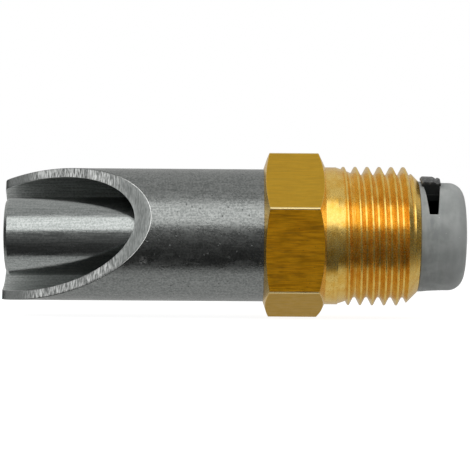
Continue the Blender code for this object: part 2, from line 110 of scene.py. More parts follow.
def filleted(points, steps=4):
    # Rounds a polyline of (x, r, corner radius). A radius of 0 keeps the corner sharp.
    result = []
    count = len(points)
    for index, (x, r, radius) in enumerate(points):
        here = Vector((x, r))
        before = Vector(points[index - 1][:2]) - here
        after = Vector(points[(index + 1) % count][:2]) - here
        if radius <= 0.0:
            result.append((x, r))
            continue
        before.normalize()
        after.normalize()
        half = before.angle(after) / 2.0
        reach = radius / math.tan(half)
        centre = here + (before + after).normalized() * radius / math.sin(half)
        start = here + before * reach - centre
        sweep = math.copysign(math.pi - 2.0 * half, before.cross(after))
        for step in range(steps + 1):
            turn = -sweep * step / steps
            x = centre.x + start.x * math.cos(turn) - start.y * math.sin(turn)
            r = centre.y + start.x * math.sin(turn) + start.y * math.cos(turn)
            result.append((x, r))
    return result


def lathe(name, outline, sides, closed=False):
    # Turns (x, r) points about the centre line. An open outline begins and ends at r = 0.
    rings = []
    for x, r in outline:
        if r < 1e-9:
            rings.append([Vector((x, 0.0, 0.0))])
        else:
            rings.append([roundPoint(x, r, 2.0 * math.pi * i / sides) for i in range(sides)])
    return newObject(name, gridMesh(name, rings, closed))


def swept(name, section, start, end, steps):
    # Lofts a section of (x, r) points, given as a function of the angle, round the centre line.
    shape = bmesh.new()
    rings = []
    for step in range(steps + 1):
        angle = start + (end - start) * step / steps
        rings.append([shape.verts.new(roundPoint(x, r, angle)) for x, r in section(angle)])
    for low, high in zip(rings, rings[1:]):
        for side in range(len(low)):
            after = (side + 1) % len(low)
            shape.faces.new((low[side], low[after], high[after], high[side]))
    shape.faces.new(rings[0])
    shape.faces.new(rings[-1])
    return newObject(name, meshFrom(name, shape))


def bake(obj):
    # Turns what the modifiers make into a plain mesh, and takes the modifiers off.
    graph = bpy.context.evaluated_depsgraph_get()
    mesh = bpy.data.meshes.new_from_object(obj.evaluated_get(graph))
    obj.modifiers.clear()
    obj.data = mesh
    return obj


def combine(obj, other, operation):
    modifier = obj.modifiers.new(operation.lower(), "BOOLEAN")
    modifier.operation = operation
    modifier.solver = "EXACT"
    modifier.object = other
    bake(obj)
    bpy.data.objects.remove(other)
    return obj


def finish(obj, materials, body, node, sharp=35.0):
    obj.data.materials.clear()
    for material in materials:
        obj.data.materials.append(material)
    obj.data.shade_smooth()
    obj.data.set_sharp_from_angle(angle=math.radians(sharp))
    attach(obj, body)
    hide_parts(node)
    print(obj.name, "done:", sum(len(p.vertices) - 2 for p in obj.data.polygons), "triangles")
    return obj


class NodeTree:
    # A Geometry Nodes group with named inputs, and short calls for its maths.
    def __init__(self, name):
        self.group = bpy.data.node_groups.new(name, "GeometryNodeTree")
        self.face = self.group.interface
        self.face.new_socket("Geometry", in_out="INPUT", socket_type="NodeSocketGeometry")
        self.face.new_socket("Geometry", in_out="OUTPUT", socket_type="NodeSocketGeometry")
        self.inputs = None

    def number(self, name, value, kind="NodeSocketFloat"):
        socket = self.face.new_socket(name, in_out="INPUT", socket_type=kind)
        if value is not None:
            socket.default_value = value

    def open(self):
        self.inputs = self.add("NodeGroupInput").outputs

    def add(self, kind, **settings):
        node = self.group.nodes.new(kind)
        for key, value in settings.items():
            setattr(node, key, value)
        return node

    def link(self, source, target):
        if isinstance(source, bpy.types.NodeSocket):
            self.group.links.new(source, target)
        else:
            target.default_value = source

    def maths(self, operation, *values):
        node = self.add("ShaderNodeMath", operation=operation)
        for socket, value in zip(node.inputs, values):
            self.link(value, socket)
        return node.outputs[0]

    def vector(self, x, y, z):
        node = self.add("ShaderNodeCombineXYZ")
        for socket, value in zip(node.inputs, (x, y, z)):
            self.link(value, socket)
        return node.outputs[0]

    def close(self, geometry):
        # Every tree ends the same way: real geometry with its material on it.
        realize = self.add("GeometryNodeRealizeInstances")
        paint = self.add("GeometryNodeSetMaterial")
        out = self.add("NodeGroupOutput")
        self.link(geometry, realize.inputs["Geometry"])
        self.link(realize.outputs["Geometry"], paint.inputs["Geometry"])
        self.link(self.inputs["Material"], paint.inputs["Material"])
        self.link(paint.outputs["Geometry"], out.inputs["Geometry"])
        return self.group


def applyTree(obj, group, values):
    # Sets the named inputs by their identifiers, and bakes the result.
    modifier = obj.modifiers.new(group.name, "NODES")
    modifier.node_group = group
    for item in group.interface.items_tree:
        if item.item_type == "SOCKET" and item.in_out == "INPUT" and item.name in values:
            modifier[item.identifier] = values[item.name]
    return bake(obj)


class Paint:
    # A Principled material, with short calls for the textures that drive it.
    def __init__(self, name, metallic, roughness, colour):
        self.material = bpy.data.materials.new(name)
        self.material.use_nodes = True
        self.tree = self.material.node_tree
        self.shader = self.tree.nodes["Principled BSDF"]
        self.shader.inputs["Metallic"].default_value = metallic
        self.shader.inputs["Roughness"].default_value = roughness
        self.shader.inputs["Base Color"].default_value = (*colour, 1.0)
        self.place = self.add("ShaderNodeTexCoord").outputs["Object"]
        self.bumps = []

    def add(self, kind, **settings):
        node = self.tree.nodes.new(kind)
        for key, value in settings.items():
            setattr(node, key, value)
        return node

    def link(self, source, target):
        if isinstance(source, bpy.types.NodeSocket):
            self.tree.links.new(source, target)
        else:
            target.default_value = source

    def mapped(self, scale, turn=(0.0, 0.0, 0.0)):
        # Object coordinates, turned and then stretched, with the scale in features per metre.
        turned = self.add("ShaderNodeMapping")
        turned.inputs["Rotation"].default_value = turn
        self.link(self.place, turned.inputs["Vector"])
        node = self.add("ShaderNodeMapping")
        node.inputs["Scale"].default_value = scale
        self.link(turned.outputs["Vector"], node.inputs["Vector"])
        return node.outputs["Vector"]

    def noise(self, scale, detail=3.0, roughness=0.55, turn=(0.0, 0.0, 0.0)):
        node = self.add("ShaderNodeTexNoise")
        node.inputs["Scale"].default_value = 1.0
        node.inputs["Detail"].default_value = detail
        node.inputs["Roughness"].default_value = roughness
        self.link(self.mapped(scale, turn), node.inputs["Vector"])
        return node.outputs["Fac"]

    def spots(self, scale, size, soft=0.35):
        # Round spots where the cells of a Voronoi texture have their points.
        node = self.add("ShaderNodeTexVoronoi")
        node.inputs["Scale"].default_value = 1.0
        self.link(self.mapped(scale), node.inputs["Vector"])
        return self.fit(node.outputs["Distance"], size * (1.0 - soft), size * (1.0 + soft), 1.0, 0.0)

    def fit(self, value, low, high, first=0.0, last=1.0):
        node = self.add("ShaderNodeMapRange", interpolation_type="SMOOTHSTEP")
        for socket, given in zip(node.inputs, (value, low, high, first, last)):
            self.link(given, socket)
        return node.outputs["Result"]

    def maths(self, operation, *values):
        node = self.add("ShaderNodeMath", operation=operation)
        for socket, value in zip(node.inputs, values):
            self.link(value, socket)
        return node.outputs[0]

    def split(self):
        node = self.add("ShaderNodeSeparateXYZ")
        self.link(self.place, node.inputs[0])
        return node.outputs

    def spot(self, centre, core, rim):
        # One soft spot round a point.
        node = self.add("ShaderNodeVectorMath", operation="DISTANCE")
        self.link(self.place, node.inputs[0])
        node.inputs[1].default_value = centre
        return self.fit(node.outputs["Value"], core, rim, 1.0, 0.0)

    def reach(self, position):
        # Distance from the centre line.
        squares = [self.maths("MULTIPLY", position[i], position[i]) for i in (1, 2)]
        return self.maths("SQRT", self.maths("ADD", *squares))

    def blend(self, share, first, second):
        node = self.add("ShaderNodeMix", data_type="RGBA")
        self.link(share, node.inputs[0])
        for socket, colour in ((node.inputs[6], first), (node.inputs[7], second)):
            if isinstance(colour, bpy.types.NodeSocket):
                self.link(colour, socket)
            else:
                socket.default_value = (*colour, 1.0)
        return node.outputs[2]

    def bump(self, height, distance, strength=1.0):
        node = self.add("ShaderNodeBump")
        node.inputs["Strength"].default_value = strength
        node.inputs["Distance"].default_value = distance
        self.link(height, node.inputs["Height"])
        if self.bumps:
            self.link(self.bumps[-1], node.inputs["Normal"])
        self.bumps.append(node.outputs["Normal"])

    def done(self, colour=None, roughness=None):
        if colour is not None:
            self.link(colour, self.shader.inputs["Base Color"])
        if roughness is not None:
            self.link(roughness, self.shader.inputs["Roughness"])
        if self.bumps:
            self.link(self.bumps[-1], self.shader.inputs["Normal"])
        return self.material


tubeSteel = {
    "dark": (0.172, 0.182, 0.179),
    "light": (0.350, 0.362, 0.356),
    "grain": 3500.0,       # blasted grain, features per metre
    "grainDepth": 0.000019,
    "roughness": (0.20, 0.34),
    "nick": (-0.02690, -0.0092, -0.0037),
    "nickSize": (0.00030, 0.00085),      # core and soft rim
    "edgeFade": (-0.0325, -0.0285),      # the broken edge is bright from here towards the body; towards the mouth it is painted dark, as painted shadow
    "strokeFade": (-0.0335, -0.0285),    # the belt's strokes die out towards the inner end
    "tipFade": (-0.0462, -0.0428),       # and are dull at the two tips of the mouth
    "beltTurn": math.radians(-15.0),
}


def makeTubeSteel():
    paint = Paint("blastedSteel", 1.0, 0.24, tubeSteel["light"])
    grain = paint.noise((tubeSteel["grain"],) * 3, 2.5, 0.6)
    patches = paint.noise((420.0, 700.0, 700.0), 4.0, 0.6)
    drawn = paint.noise((160.0, 5200.0, 5200.0), 2.0, 0.5)
    pits = paint.spots((900.0,) * 3, 0.10)
    shade = paint.maths("ADD", paint.fit(grain, 0.38, 0.62, 0.0, 0.62),
                        paint.fit(patches, 0.35, 0.68, 0.0, 0.14))
    shade = paint.maths("ADD", shade, paint.fit(drawn, 0.36, 0.64, 0.0, 0.24))
    colour = paint.blend(shade, tubeSteel["dark"], tubeSteel["light"])
    colour = paint.blend(paint.maths("MULTIPLY", pits, 0.7), colour, (0.08, 0.085, 0.085))
    nick = paint.maths("MULTIPLY", paint.spot(tubeSteel["nick"], *tubeSteel["nickSize"]),
                       paint.fit(grain, 0.44, 0.50))
    colour = paint.blend(nick, colour, (0.9, 0.91, 0.9))
    rough = paint.fit(patches, 0.3, 0.7, *tubeSteel["roughness"])
    paint.bump(drawn, 0.0000025)
    paint.bump(grain, tubeSteel["grainDepth"])
    paint.bump(pits, -0.00003)
    return paint.done(colour, rough)


def makeBoreSteel():
    # Inside the tube the drawn skin is left as it came, duller and rougher.
    paint = Paint("boreSteel", 0.85, 0.44, (0.36, 0.38, 0.375))
    drawn = paint.noise((190.0, 3800.0, 3800.0), 3.0, 0.6)
    grain = paint.noise((3200.0,) * 3, 3.0, 0.6)
    shade = paint.fit(paint.maths("ADD", drawn, grain), 0.75, 1.25)
    colour = paint.blend(shade, (0.36, 0.38, 0.375), (0.68, 0.70, 0.69))
    paint.bump(drawn, 0.000006)
    paint.bump(grain, 0.000010)
    return paint.done(colour, paint.fit(grain, 0.3, 0.7, 0.36, 0.52))


def makeEdgeSteel():
    # The broken edge round the cut, rubbed bright towards the body; towards the mouth it is painted dark, a
    # painted shadow along the edge.
    paint = Paint("rubbedAndShadedEdge", 1.0, 0.3, (0.72, 0.73, 0.72))
    grain = paint.noise((2600.0,) * 3, 2.0, 0.6)
    paint.bump(grain, 0.000006)
    bright = paint.blend(paint.fit(grain, 0.35, 0.65), (0.60, 0.61, 0.605), (0.95, 0.96, 0.95))
    nose = paint.fit(paint.split()[0], *tubeSteel["edgeFade"])
    # Painted shadow: towards the mouth the edge is painted near black, standing for the shade along the edge.
    return paint.done(paint.blend(nose, (0.10, 0.105, 0.103), bright))


def makeCutSteel():
    # The oblique cut, ground across with a belt.
    paint = Paint("groundSteel", 1.0, 0.36, (0.32, 0.325, 0.32))
    turn = (tubeSteel["beltTurn"], 0.0, 0.0)
    strokes = paint.noise((7200.0, 900.0, 900.0), 3.0, 0.6, turn)
    fine = paint.noise((12000.0, 2600.0, 2600.0), 2.0, 0.6, turn)
    nose = paint.fit(paint.split()[0], *tubeSteel["strokeFade"])
    rough = paint.blend(paint.fit(strokes, 0.36, 0.64), (0.115, 0.121, 0.119), (0.72, 0.735, 0.73))
    smooth = paint.blend(paint.fit(strokes, 0.34, 0.66), (0.185, 0.195, 0.192), (0.31, 0.325, 0.32))
    tips = paint.fit(paint.split()[0], *tubeSteel["tipFade"])
    dull = paint.blend(paint.fit(fine, 0.34, 0.66), (0.15, 0.158, 0.155), (0.24, 0.25, 0.247))
    colour = paint.blend(nose, paint.blend(tips, dull, rough), smooth)
    paint.bump(strokes, 0.000012)
    paint.bump(fine, 0.000005)
    return paint.done(colour, paint.fit(fine, 0.3, 0.7, 0.28, 0.46))


def makePinSteel():
    paint = Paint("pinSteel", 1.0, 0.2, (0.42, 0.42, 0.42))
    grain = paint.noise((3600.0,) * 3, 2.0, 0.6)
    drawn = paint.noise((260.0, 4200.0, 4200.0), 3.0, 0.6)
    pits = paint.spots((1300.0,) * 3, 0.085)
    shade = paint.fit(paint.maths("ADD", grain, drawn), 0.7, 1.3)
    colour = paint.blend(shade, (0.28, 0.30, 0.295), (0.45, 0.47, 0.463))
    colour = paint.blend(paint.maths("MULTIPLY", pits, 0.8), colour, (0.07, 0.07, 0.07))
    paint.bump(drawn, 0.0000030)
    paint.bump(grain, 0.0000070)
    return paint.done(colour, paint.fit(drawn, 0.3, 0.7, 0.14, 0.24))


def makeSpringSteel():
    paint = Paint("springSteel", 1.0, 0.25, (0.45, 0.45, 0.46))
    streak = paint.noise((2500.0,) * 3, 3.0, 0.6)
    paint.bump(streak, 0.000004)
    colour = paint.blend(streak, (0.34, 0.34, 0.35), (0.5, 0.5, 0.51))
    return paint.done(colour, paint.fit(streak, 0.3, 0.7, 0.2, 0.34))


brass = {
    "deep": (0.66, 0.285, 0.004),
    # Painted lit colour for the flats away from the front and back.
    "olive": (0.54, 0.355, 0.034),
    "pale": (0.93, 0.64, 0.175),
    # Real tarnish streaks, and also the painted shade on the front and back flats.
    "tarnishAndShade": (0.42, 0.19, 0.012),
    "streak": 5200.0,
    # Painted shade: the flats square to this turn are painted darker brown.
    "shadedFlatTurn": math.radians(-11.7),
    "shadedFlatFade": (0.01080, 0.01095),      # distance from the middle, square to the flats facing front and back, which are painted shaded brown
    "cornerFade": (0.01257, 0.01263),    # distance from the centre line where the corners are worn
}


def makeBrassFlat():
    # Drawn hex bar: long marks along the bar, with darker streaks of tarnish, and painted shade on the front
    # and back flats.
    paint = Paint("drawnBrass", 0.82, 0.5, brass["deep"])
    marks = paint.noise((330.0, brass["streak"], brass["streak"]), 3.0, 0.62)
    broad = paint.noise((150.0, 1500.0, 1500.0), 4.0, 0.6)
    blotch = paint.noise((700.0, 900.0, 900.0), 4.0, 0.62)
    grain = paint.noise((5200.0,) * 3, 2.0, 0.6)
    pits = paint.spots((1500.0,) * 3, 0.09)
    colour = paint.blend(paint.fit(marks, 0.36, 0.62), brass["deep"], (0.96, 0.47, 0.012))
    colour = paint.blend(paint.fit(broad, 0.52, 0.74, 0.0, 0.45), colour, brass["tarnishAndShade"])
    colour = paint.blend(paint.fit(blotch, 0.52, 0.74, 0.0, 0.35), colour, (0.62, 0.31, 0.010))
    colour = paint.blend(paint.maths("MULTIPLY", pits, 0.7), colour, (0.16, 0.07, 0.015))
    position = paint.split()
    # Painted shade: the two flats square to this turn, the front one and the back one, are painted a mottled
    # shaded brown; the other flats are painted paler olive, as if lit.
    turn = brass["shadedFlatTurn"]
    square = paint.maths("SUBTRACT", paint.maths("MULTIPLY", position[2], math.sin(turn)),
                         paint.maths("MULTIPLY", position[1], math.cos(turn)))
    shadedFlats = paint.fit(paint.maths("ABSOLUTE", square), *brass["shadedFlatFade"])
    shadeMottle = paint.noise((170.0, 900.0, 900.0), 4.0, 0.65)
    shadeAndStain = paint.blend(paint.fit(shadeMottle, 0.50, 0.68, 0.0, 0.62), colour, brass["tarnishAndShade"])
    colour = paint.blend(shadedFlats, paint.blend(0.74, colour, brass["olive"]), shadeAndStain)
    worn = paint.fit(paint.reach(position), *brass["cornerFade"])
    colour = paint.blend(paint.maths("MULTIPLY", worn, 0.8), colour, (1.0, 0.86, 0.46))
    rough = paint.fit(blotch, 0.3, 0.7, 0.46, 0.58)
    rough = paint.maths("SUBTRACT", rough, paint.maths("MULTIPLY", worn, 0.22))
    paint.bump(broad, 0.000008)
    paint.bump(marks, 0.0000055)
    paint.bump(grain, 0.000004)
    return paint.done(colour, rough)


def makeBrassTurned():
    # Lathe work: fine rings round the centre line, and brighter metal.
    paint = Paint("turnedBrass", 0.88, 0.2, brass["pale"])
    rings = paint.noise((5200.0, 90.0, 90.0), 3.0, 0.6)
    blotch = paint.noise((900.0, 700.0, 700.0), 4.0, 0.62)
    grain = paint.noise((3800.0,) * 3, 2.0, 0.6)
    specks = paint.spots((1700.0,) * 3, 0.11)
    colour = paint.blend(paint.fit(blotch, 0.36, 0.70), brass["pale"], (0.84, 0.49, 0.08))
    colour = paint.blend(paint.fit(rings, 0.5, 0.74, 0.0, 0.40), colour, (0.74, 0.38, 0.035))
    colour = paint.blend(paint.maths("MULTIPLY", specks, 0.5), colour, (0.34, 0.14, 0.02))
    rough = paint.fit(grain, 0.3, 0.7, 0.18, 0.30)
    paint.bump(rings, 0.0000075)
    paint.bump(grain, 0.0000018)
    return paint.done(colour, rough)


plastic = {
    "capFade": (0.0145, 0.021),          # the cap pales towards its end
    "scuffReach": (0.00862, 0.00885),    # only the lug's outer face gets scuffed
    "glow": 0.12,                        # light that passes a little way into the grey cap
    "glowDepth": 0.0012,
}


def makeCapPlastic():
    paint = Paint("greyPlastic", 0.0, 0.42, (0.20, 0.215, 0.21))
    cloud = paint.noise((260.0, 330.0, 330.0), 4.0, 0.55)
    grain = paint.noise((3200.0,) * 3, 3.0, 0.6)
    specks = paint.spots((620.0,) * 3, 0.055, 0.2)
    along = paint.fit(paint.split()[0], *plastic["capFade"])
    bands = paint.noise((620.0, 210.0, 210.0), 4.0, 0.6)
    mottle = paint.fit(paint.maths("ADD", cloud, bands), 0.80, 1.20)
    colour = paint.blend(mottle, (0.275, 0.294, 0.292), (0.410, 0.430, 0.426))
    colour = paint.blend(paint.maths("MULTIPLY", along, 0.55), colour, (0.42, 0.435, 0.43))
    colour = paint.blend(paint.maths("MULTIPLY", specks, 0.8), colour, (0.62, 0.64, 0.63))
    paint.bump(cloud, 0.00005)
    paint.bump(grain, 0.0000045)
    paint.shader.inputs["Subsurface Weight"].default_value = plastic["glow"]
    paint.shader.inputs["Subsurface Scale"].default_value = plastic["glowDepth"]
    paint.shader.inputs["Subsurface Radius"].default_value = (1.0, 1.0, 1.0)
    return paint.done(colour, paint.fit(grain, 0.3, 0.7, 0.36, 0.5))


def makeBlackPlastic():
    paint = Paint("blackPlastic", 0.0, 0.38, (0.012, 0.013, 0.013))
    grain = paint.noise((5000.0, 2600.0, 2600.0), 3.0, 0.65)
    scuff = paint.noise((2100.0, 1300.0, 1300.0), 4.0, 0.65)
    outer = paint.fit(paint.reach(paint.split()), *plastic["scuffReach"])
    worn = paint.maths("MULTIPLY", outer, paint.fit(scuff, 0.46, 0.66, 0.12, 0.8))
    colour = paint.blend(worn, (0.019, 0.021, 0.021), (0.17, 0.175, 0.175))
    paint.bump(scuff, 0.00003)
    paint.bump(grain, 0.000006)
    return paint.done(colour, paint.fit(grain, 0.3, 0.7, 0.3, 0.5))


def makeWhitePlastic():
    paint = Paint("whitePlastic", 0.0, 0.42, (0.75, 0.75, 0.72))
    cloud = paint.noise((500.0,) * 3, 3.0, 0.55)
    paint.bump(cloud, 0.00002)
    colour = paint.blend(cloud, (0.66, 0.66, 0.63), (0.78, 0.78, 0.75))
    return paint.done(colour, paint.fit(cloud, 0.3, 0.7, 0.36, 0.48))


def makeRubber():
    paint = Paint("blackRubber", 0.0, 0.75, (0.025, 0.025, 0.025))
    grain = paint.noise((4200.0,) * 3, 3.0, 0.65)
    paint.bump(grain, 0.000012)
    colour = paint.blend(grain, (0.018, 0.018, 0.018), (0.036, 0.036, 0.035))
    return paint.done(colour, paint.fit(grain, 0.3, 0.7, 0.62, 0.85))


steelTube = makeTubeSteel()
steelBore = makeBoreSteel()
steelEdge = makeEdgeSteel()
steelCut = makeCutSteel()
steelPin = makePinSteel()
steelSpring = makeSpringSteel()
brassFlat = makeBrassFlat()
brassTurned = makeBrassTurned()
plasticCap = makeCapPlastic()
plasticBlack = makeBlackPlastic()
plasticWhite = makeWhitePlastic()
rubberSeal = makeRubber()
print("materials ready:", len(bpy.data.materials))


tubeLow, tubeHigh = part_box("mouth_tube")
tube = {
    "radius": tubeHigh.z,
    "wall": 1.4 * mm,
    "scoopLength": 23.0 * mm,
    "scoopAngle": math.radians(30.0),
    "scoopTurn": math.radians(15.0),
    "edge": 0.10 * mm,        # broken edge along the cut
    "lip": 0.90 * mm,         # rounding where the cut runs out at the mouth
    "sides": 336,
    "rows": 72,
    "boreRows": 44,
    "crowd": 1.35,            # how closely the rows gather towards the cut
}


def scoopX(radius, angle):
    # Where the plane of the oblique cut meets a circle of this radius, no further out than the mouth.
    slope = math.tan(tube["scoopAngle"])
    start = tubeLow.x + tube["scoopLength"] - tube["radius"] / slope
    cut = start + radius * math.cos(angle - tube["scoopTurn"]) / slope
    gap = max(0.0, tube["lip"] - abs(cut - tubeLow.x)) / tube["lip"]
    return max(cut, tubeLow.x) + gap * gap * gap * tube["lip"] / 6.0


def makeTube():
    outer = tube["radius"]
    inner = outer - tube["wall"]
    edge = tube["edge"]
    back = tubeHigh.x
    sides = tube["sides"]
    rings = []

    def ringAt(place):
        turns = [2.0 * math.pi * i / sides for i in range(sides)]
        return [roundPoint(*place(turn), turn) for turn in turns]

    def between(radius, angle, share):
        # From the broken edge (0) to the tube's back end (1).
        cut = scoopX(radius, angle)
        return cut + edge + (back - cut - edge) * share

    rows = tube["rows"]
    for row in range(rows + 1):
        share = (1.0 - row / rows) ** tube["crowd"]
        rings.append(ringAt(lambda a: (between(outer, a, share), outer)))
    for bend in (30.0, 60.0):
        turn = math.radians(bend)
        rings.append(ringAt(lambda a: (scoopX(outer, a) + edge * (1.0 - math.sin(turn)),
                                       outer - edge * (1.0 - math.cos(turn)))))
    for share in (0.0, 0.25, 0.5, 0.75, 1.0):
        r = outer - edge - (tube["wall"] - 2.0 * edge) * share
        rings.append(ringAt(lambda a: (scoopX(r, a), r)))
    for bend in (60.0, 30.0):
        turn = math.radians(bend)
        rings.append(ringAt(lambda a: (scoopX(inner, a) + edge * (1.0 - math.sin(turn)),
                                       inner + edge * (1.0 - math.cos(turn)))))
    for row in range(tube["boreRows"] + 1):
        share = (row / tube["boreRows"]) ** tube["crowd"]
        rings.append(ringAt(lambda a: (between(inner, a, share), inner)))
    obj = newObject("mouthTube", gridMesh("mouthTube", rings))
    cutLow = inner + 0.6 * edge
    cutHigh = outer - 0.6 * edge
    marks = []                # 0 tube, 1 cut, 2 bore, 3 broken edge
    for face in obj.data.polygons:
        reach = math.hypot(face.center.y, face.center.z)
        if face.center.x > back - 0.0001 or reach > outer - 0.03 * edge:
            marks.append(0)
        elif reach >= cutHigh:
            marks.append(3)
        else:
            marks.append(1 if reach > cutLow else 2)
    finish(obj, (steelTube, steelCut, steelBore, steelEdge), "housing", "mouth_tube")
    obj.data.polygons.foreach_set("material_index", marks)
    return obj


makeTube()


bodyLow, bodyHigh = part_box("hex_body")
body = {
    "acrossFlats": 22.0 * mm,
    "hexTurn": math.radians(-11.7),
    "cornerRound": 0.30 * mm,
    "mouthChamfer": math.radians(18.5),
    "neckChamfer": math.radians(25.5),
    "neckStep": 0.22 * mm,
    "chamferRound": 0.09 * mm,
    "socket": 10.05 * mm,
    "neck": 10.3775 * mm,
    "chamber": 8.1458 * mm,
    "webFront": -3.6 * mm,
    "webBack": -1.4 * mm,
    "webBore": 4.5 * mm,
    "lipHeight": 0.4 * mm,
    "lipWidth": 0.6 * mm,
    "threadRows": 232,
    "threadFull": 3.2 * mm,    # from here on the thread has its full crest
    "endRound": 0.08 * mm,
}
thread = {
    "Crest radius": 10.4775 * mm,
    "Neck radius": 10.3775 * mm,
    "Pitch": 25.4 * mm / 14.0,
    "Depth": 1.19 * mm,
    "Crest width": 0.24 * mm,
    "Flank slope": math.tan(math.radians(27.5)),
    "First crest": 1.02 * mm,
    "Start": 1.75 * mm,
    "Run in": 0.42,
    "Crest round": 0.10 * mm,
    "Root round": 0.16 * mm,
    "End": bodyHigh.x,
    "End radius": 8.4958 * mm,
    "Bore radius": 8.3 * mm,
}


def threadTree():
    # Sinks a helical groove into a turned blank: each point moves in along its own radius.
    tree = NodeTree("threadCutter")
    for name, value in thread.items():
        tree.number(name, value)
    tree.number("Material", None, "NodeSocketMaterial")
    tree.open()
    given = tree.inputs
    spot = tree.add("ShaderNodeSeparateXYZ")
    tree.link(tree.add("GeometryNodeInputPosition").outputs[0], spot.inputs[0])
    x, y, z = spot.outputs
    radius = tree.maths("SQRT", tree.maths("ADD", tree.maths("MULTIPLY", y, y), tree.maths("MULTIPLY", z, z)))
    # Turns counted from the top, going down the front: a right-hand thread advances this way.
    turns = tree.maths("DIVIDE", tree.maths("ARCTAN2", tree.maths("MULTIPLY", y, -1.0), z), 2.0 * math.pi)
    along = tree.maths("DIVIDE", tree.maths("SUBTRACT", x, given["First crest"]), given["Pitch"])
    phase = tree.maths("SUBTRACT", along, turns)
    off = tree.maths("SUBTRACT", tree.maths("FRACT", tree.maths("ADD", phase, 0.5)), 0.5)
    away = tree.maths("MULTIPLY", tree.maths("ABSOLUTE", off), given["Pitch"])
    past = tree.maths("SUBTRACT", away, tree.maths("MULTIPLY", given["Crest width"], 0.5))
    sink = tree.maths("DIVIDE", past, given["Flank slope"])
    sink = tree.maths("SMOOTH_MIN", sink, given["Depth"], given["Root round"])
    sink = tree.maths("SMOOTH_MAX", sink, 0.0, given["Crest round"])
    allowed = tree.maths("MULTIPLY", tree.maths("SUBTRACT", x, given["Start"]), given["Run in"])
    sink = tree.maths("SMOOTH_MIN", sink, tree.maths("MAXIMUM", allowed, 0.0), given["Crest round"])
    sink = tree.maths("MAXIMUM", sink, 0.0)
    rise = tree.add("ShaderNodeMapRange", interpolation_type="SMOOTHSTEP")
    ramp = (x, given["Start"], body["threadFull"], given["Neck radius"], given["Crest radius"])
    for socket, value in zip(rise.inputs, ramp):
        tree.link(value, socket)
    cut = tree.maths("SUBTRACT", rise.outputs[0], sink)
    chamfer = tree.maths("ADD", given["End radius"], tree.maths("SUBTRACT", given["End"], x))
    cut = tree.maths("SMOOTH_MIN", cut, chamfer, body["endRound"])
    outside = tree.maths("GREATER_THAN", radius, given["Bore radius"])
    beyond = tree.maths("GREATER_THAN", x, given["Start"])
    scale = tree.maths("DIVIDE", cut, radius)
    move = tree.add("GeometryNodeSetPosition")
    tree.link(given["Geometry"], move.inputs["Geometry"])
    tree.link(tree.maths("MULTIPLY", outside, beyond), move.inputs["Selection"])
    moved = tree.vector(x, tree.maths("MULTIPLY", y, scale), tree.maths("MULTIPLY", z, scale))
    tree.link(moved, move.inputs["Position"])
    return tree.close(move.outputs["Geometry"])


def hexAngles():
    # Columns round the hex: even ones on the flats, and a cluster over each rounded corner.
    angles = []
    steps = [-28.5 + 1.5 * i for i in range(39)]
    steps += [29.2, 29.5, 29.68, 29.84, 30.0, 30.16, 30.32, 30.5, 30.8]
    for side in range(6):
        middle = body["hexTurn"] + side * math.pi / 3.0
        angles += [middle + math.radians(step) for step in steps]
    return angles


def hexRadius(angle):
    # Distance of the hex from the centre line, with its corners rounded.
    half = body["acrossFlats"] / 2.0
    away = (angle - body["hexTurn"] + math.pi / 6.0) % (math.pi / 3.0) - math.pi / 6.0
    corner = math.pi / 6.0
    fillet = body["cornerRound"]
    tangent = math.atan((half - fillet) * math.tan(corner) / half)
    if abs(away) < tangent:
        return half / math.cos(away)
    centre = (half - fillet) / math.cos(corner)
    off = corner - abs(away)
    return centre * math.cos(off) + math.sqrt(fillet * fillet - (centre * math.sin(off)) ** 2)


def smoothMin(a, b, width):
    share = max(width - abs(a - b), 0.0) / width
    return min(a, b) - share * share * share * width / 6.0


